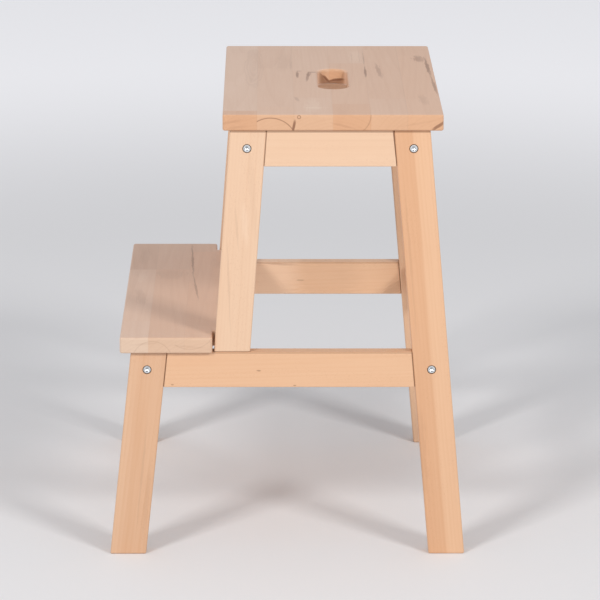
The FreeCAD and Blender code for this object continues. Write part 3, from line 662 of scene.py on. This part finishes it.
def ovalLine(tree, plane, oval):
    # a thin ring round a long flat oval, with a little wander
    x, y, halfLength, halfWidth, strength = oval
    bend = calc(tree, "SUBTRACT", noise(tree, plane, ovalShape["repeats"]), 0.5)
    away = vectorCalc(tree, "SUBTRACT", plane, (x / 1000, y / 1000, 0))
    away = vectorCalc(tree, "DIVIDE", away, (halfLength / 1000, halfWidth / 1000, 1))
    reach = calc(tree, "MULTIPLY_ADD", bend, ovalShape["wander"], vectorCalc(tree, "LENGTH", away))
    ring = calc(tree, "ABSOLUTE", calc(tree, "SUBTRACT", reach, 1.0))
    return ramp(tree, ring, 0.0, ovalShape["lineWidth"] / halfWidth, strength, 0.0)


def placeStaves(settings, start):
    # each stave with its edges and its heart lines in the board's own millimetres
    staves = []
    for stave in settings["staves"]:
        end = start + stave["width"]
        middle = (start + end) / 2
        staves.append({
            **stave,
            "edges": (start, end, 0),
            "joints": (*stave["joints"], 0),
            "heart": [middle + back for back in stave["back"]],
        })
        start = end
    return staves


def paintEnds(tree, colour, place, inMm, end, settings):
    # the ends of the board, and the walls of the hand slot inside it
    split = separate(tree, place)
    plane = combine(tree, split["Y"], split["Z"])
    inside = ramp(tree, calc(tree, "ABSOLUTE", inMm["X"]), slotWall["full"], slotWall["end"], 1.0, 0.0)
    wall = calc(tree, "MULTIPLY", end, inside)
    rim = calc(tree, "SUBTRACT", end, wall)
    for y, z, radius, width, strength, first, last in settings["arcs"]:
        mask = useGroup(tree, growthLine, {
            "Vector": plane,
            "Centre": (y / 1000, z / 1000, 0),
            "Radius": radius / 1000,
            "Width": width / 1000,
        })["Mask"]
        within = calc(tree, "MULTIPLY", calc(tree, "GREATER_THAN", inMm["Y"], first),
                      calc(tree, "LESS_THAN", inMm["Y"], last))
        mask = calc(tree, "MULTIPLY", mask, calc(tree, "MULTIPLY", within, strength))
        colour = mixColour(tree, calc(tree, "MULTIPLY", mask, rim), colour, beechColours["markAndShade"])
    colour = addMarksAndShading(tree, colour, plane, settings["edgeMarks"], rim)
    # painted shade over the lower part of the slot's wall, below its growth lines
    below = 0.0
    for near, far in settings["slotShade"]:
        mask = useGroup(tree, seamShade, {
            "Vector": place,
            "Point": (0, near[0] / 1000, near[1] / 1000),
            "Outward": tuple(squareTo(near, far)),
            "Width": slotWall["softness"] / 1000,
        })["Mask"]
        below = calc(tree, "MAXIMUM", mask, below)
    shade = calc(tree, "MULTIPLY", wall, calc(tree, "MULTIPLY", below, slotWall["strength"]))
    colour = mixColour(tree, shade, colour, beechColours["markAndShade"])
    return addMarksAndShading(tree, colour, plane, settings["slotMarks"], wall)


def dressBoard(settings):
    node = settings["node"]
    low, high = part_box(node)
    front, back, top = low.y * 1000, high.y * 1000, high.z * 1000
    staves = placeStaves(settings, front)
    material, tree, shader = newMaterial("beech_" + node)
    place = objectPlace(tree)
    inMm = separate(tree, scaled(tree, place, 1000))
    share = calc(tree, "DIVIDE", calc(tree, "SUBTRACT", inMm["Y"], front), back - front)
    joints = staveRamp(tree, share, staves, "joints", *sideRange)[:2]
    past = [calc(tree, "GREATER_THAN", inMm["X"], joint) for joint in joints]
    tone = pick(tree, staveRamp(tree, share, staves, "tone", 0, 1), past)
    warmth = pick(tree, staveRamp(tree, share, staves, "warmth", -1, 1), past)
    heart = pick(tree, staveRamp(tree, share, staves, "heart", *sideRange), past)
    below = pick(tree, staveRamp(tree, share, staves, "below", 0, 100), past)
    edges = staveRamp(tree, share, staves, "edges", *sideRange)
    # each length of each stave has its own piece of the tree
    seed = calc(tree, "MULTIPLY", below, seedShares["below"])
    seed = calc(tree, "MULTIPLY_ADD", heart, seedShares["heart"], seed)
    lift = calc(tree, "MULTIPLY_ADD", inMm["X"], math.tan(2 * heartTilt), below)
    depth = calc(tree, "ADD", calc(tree, "SUBTRACT", inMm["Z"], top), lift)
    fromHeart = combine(tree, inMm["X"], calc(tree, "SUBTRACT", inMm["Y"], heart), depth)
    # end-grain tint; it starts early on the rounded edges, so it also darkens the light they catch: partly
    # end grain, partly painted shade
    end = faceMask(tree, (1, 0, 0), 0.3, 0.8)
    grain = useGroup(tree, beech, {
        **boardFigure,
        "Vector": scaled(tree, fromHeart, 0.001),
        "Seed": seed,
        "Tone": tone,
        "Warmth": warmth,
        "End": end,
        "End Tint": settings["endTint"],
        "Light": beechColours["boardLight"],
        "Dark": beechColours["boardDark"],
    })
    # glue lines between the staves and at their end joints
    gaps = [calc(tree, "SUBTRACT", inMm["Y"], edges[0]), calc(tree, "SUBTRACT", edges[1], inMm["Y"])]
    gaps += [calc(tree, "ABSOLUTE", calc(tree, "SUBTRACT", inMm["X"], joint)) for joint in joints]
    nearest = gaps[0]
    for gap in gaps[1:]:
        nearest = calc(tree, "MINIMUM", nearest, gap)
    line = ramp(tree, nearest, glueLine["full"], glueLine["end"], glueLine["strength"], 0.0)
    colour = mixColour(tree, line, grain["Color"], beechColours["markAndShade"])
    face = inverse(tree, end)
    for oval in settings["ovals"]:
        line = calc(tree, "MULTIPLY", ovalLine(tree, place, oval), face)
        colour = mixColour(tree, line, colour, beechColours["markAndShade"])
    colour = addMarksAndShading(tree, colour, place, settings["marksAndShading"], face)
    colour = paintEnds(tree, colour, place, inMm, end, settings)
    finishWood(tree, shader, grain, colour)
    setMaterial(node, material)


for settings in (seatSettings, stepSettings):
    dressBoard(settings)
print("boards dressed")


# Dowels are raw beech, without lacquer
dowelFigure = {
    "Ring Width": 0.0025,
    "Rings": 0.15,
    "Streaks": 0.3,
    "Flecks": 0.3,
    "Light": srgb(228, 196, 154),
    "Dark": srgb(190, 146, 104),
}
rawRoughness = 0.3  # on top of the roughness under the lacquer


def dressDowels():
    material, tree, shader = newMaterial("raw_dowel")
    grain = useGroup(tree, beech, {**dowelFigure, "Vector": objectPlace(tree)})
    feed(tree, grain["Color"], shader.inputs["Base Color"])
    feed(tree, calc(tree, "ADD", grain["Roughness"], rawRoughness), shader.inputs["Roughness"])
    for node in ("right_frame_dowels", "left_frame_dowels", "cross_rail_dowels"):
        setMaterial(node, material)


# The bolt heads have a bright face round the socket, and a darker, rougher rim that is painted shade. Radii
# are in millimetres.
metalSettings = {
    "zinc": {"colour": (226, 229, 231), "roughness": 0.26, "grain": 900,
             "rim": (160, 157, 154), "rimRadius": 3.9, "rimSoftness": 0.3, "rimEnd": (8, 9)},
    "yellow_zinc": {"colour": (206, 190, 148), "roughness": 0.30, "grain": 900},
}
metalFigure = {"dull": 0.8, "cloud": 0.16, "rimRoughness": 0.2}
boltSearch = {"apart": 0.03, "faceDepth": 0.0015}


def headCentres():
    # the middle of each bolt head's outer face
    centres = []
    for node in ("right_frame_bolts", "left_frame_bolts"):
        bolts = []
        for vertex in nodes[node].data.vertices:
            point = vertex.co
            for bolt in bolts:
                if (point - bolt[0]).yz.length < boltSearch["apart"]:
                    bolt.append(point)
                    break
            else:
                bolts.append([point])
        for bolt in bolts:
            outermost = max(abs(point.x) for point in bolt)
            face = [point for point in bolt if outermost - abs(point.x) < boltSearch["faceDepth"]]
            low = Vector([min(point[axis] for point in face) for axis in range(3)])
            high = Vector([max(point[axis] for point in face) for axis in range(3)])
            centres.append((low + high) / 2)
    return centres


def metalMaterial(name):
    settings = metalSettings[name]
    material, tree, shader = newMaterial(name)
    place = objectPlace(tree)
    cloud = noise(tree, place, (settings["grain"],) * 3, 3.0, 0.6)
    base = srgb(*settings["colour"])
    dull = (*(channel * metalFigure["dull"] for channel in base[:3]), 1.0)
    colour = mixColour(tree, ramp(tree, cloud, 0.35, 0.75), base, dull)
    # the cloud is 0.5 on average, so half of its share comes off again
    plain = settings["roughness"] - metalFigure["cloud"] / 2
    rough = calc(tree, "MULTIPLY_ADD", cloud, metalFigure["cloud"], plain)
    # painted shade: a darker, rougher ring round each bolt head
    if "rim" in settings:
        nearest = 1.0
        for centre in headCentres():
            nearest = calc(tree, "MINIMUM", vectorCalc(tree, "DISTANCE", place, tuple(centre)), nearest)
        radius, softness = settings["rimRadius"], settings["rimSoftness"]
        rim = ramp(tree, nearest, (radius - softness) / 1000, (radius + softness) / 1000)
        full, end = settings["rimEnd"]
        rim = calc(tree, "MULTIPLY", rim, ramp(tree, nearest, full / 1000, end / 1000, 1.0, 0.0))
        colour = mixColour(tree, rim, colour, srgb(*settings["rim"]))
        rough = calc(tree, "MULTIPLY_ADD", rim, metalFigure["rimRoughness"], rough)
    feed(tree, colour, shader.inputs["Base Color"])
    shader.inputs["Metallic"].default_value = 1.0
    feed(tree, rough, shader.inputs["Roughness"])
    return material


dressDowels()
zinc = metalMaterial("zinc")
yellowZinc = metalMaterial("yellow_zinc")
for node in ("right_frame_bolts", "left_frame_bolts", "right_barrel_nuts", "left_barrel_nuts"):
    setMaterial(node, zinc)
for node in ("seat_screws", "step_screws"):
    setMaterial(node, yellowZinc)
print("dowels and hardware dressed")


# Studio: a pale floor, two soft boxes either side of the camera and an even grey surround; far out, the floor
# has painted light: it is lighter and glows a little
studio = {
    "floorRadius": 14.0,
    "floorSides": 96,
    "floorRoughness": 0.75,
    "floorSpecular": 0.2,
    "floorNear": srgb(234, 234, 236),
    "floorFarLightened": srgb(246, 246, 249),
    "farStart": 1.2,
    "farEnd": 2.6,
    "farPaintedGlow": 0.20,
    "surround": srgb(232, 233, 236),
    "surroundStrength": 0.62,
    "boxAzimuths": (-36.5, 40.5),  # degrees from +X towards +Y
    "boxElevation": 33,
    "boxDistance": 6.0,
    "boxSize": 1.15,
    "boxPower": (135, 125),
    "boxColour": (1.0, 0.985, 0.965),
    "aim": (0, 0, 0.25),
}


def makeFloor():
    mesh = bpy.data.meshes.new("studio_floor")
    build = bmesh.new()
    bmesh.ops.create_circle(build, cap_ends=True, segments=studio["floorSides"], radius=studio["floorRadius"])
    build.to_mesh(mesh)
    build.free()
    floor = bpy.data.objects.new("studio_floor", mesh)
    bpy.context.scene.collection.objects.link(floor)
    material, tree, shader = newMaterial("studio_floor")
    away = vectorCalc(tree, "LENGTH", objectPlace(tree))
    # painted light: further out the floor is lighter and glows a little, though no lamp lights it more
    far = ramp(tree, away, studio["farStart"], studio["farEnd"])
    colour = mixColour(tree, far, studio["floorNear"], studio["floorFarLightened"])
    feed(tree, colour, shader.inputs["Base Color"])
    feed(tree, mixColour(tree, far, (0, 0, 0, 1), studio["floorFarLightened"]), shader.inputs["Emission Color"])
    shader.inputs["Emission Strength"].default_value = studio["farPaintedGlow"]
    shader.inputs["Roughness"].default_value = studio["floorRoughness"]
    shader.inputs["Specular IOR Level"].default_value = studio["floorSpecular"]
    mesh.materials.append(material)


def makeLights():
    aim = Vector(studio["aim"])
    for azimuth, power in zip(studio["boxAzimuths"], studio["boxPower"]):
        light = bpy.data.lights.new("soft_box", "AREA")
        light.shape = "SQUARE"
        light.size = studio["boxSize"]
        light.energy = power
        light.color = studio["boxColour"]
        lamp = bpy.data.objects.new("soft_box", light)
        bpy.context.scene.collection.objects.link(lamp)
        across, up = math.radians(azimuth), math.radians(studio["boxElevation"])
        offset = Vector((math.cos(up) * math.cos(across), math.cos(up) * math.sin(across), math.sin(up)))
        lamp.location = aim + offset * studio["boxDistance"]
        lamp.rotation_euler = offset.to_track_quat("Z", "Y").to_euler()
    world = bpy.data.worlds.new("surround")
    bpy.context.scene.world = world
    world.use_nodes = True
    background = world.node_tree.nodes["Background"]
    background.inputs["Color"].default_value = studio["surround"]
    background.inputs["Strength"].default_value = studio["surroundStrength"]


# The camera stands to the right of the stool and looks along -X, a little down
cameraSettings = {
    "place": (3.858, -0.0229, 1.2973),
    "pitch": 15.368,
    "yaw": 0.573,
    "roll": 0.140,
    "lens": 205.8,
    "sensor": 36,
    "clipEnd": 60,
}


def makeCamera():
    data = bpy.data.cameras.new("camera")
    data.sensor_width = cameraSettings["sensor"]
    data.lens = cameraSettings["lens"]
    data.clip_end = cameraSettings["clipEnd"]
    camera = bpy.data.objects.new("camera", data)
    bpy.context.scene.collection.objects.link(camera)
    down = math.radians(90 - cameraSettings["pitch"])
    around = math.radians(90 - cameraSettings["yaw"])
    aimed = Euler((down, 0, around)).to_matrix()
    rolled = aimed @ Matrix.Rotation(math.radians(cameraSettings["roll"]), 3, "Z")
    camera.matrix_world = Matrix.Translation(cameraSettings["place"]) @ rolled.to_4x4()
    bpy.context.scene.camera = camera


makeFloor()
makeLights()
makeCamera()
bpy.context.scene.view_settings.view_transform = "Standard"
print("studio ready")
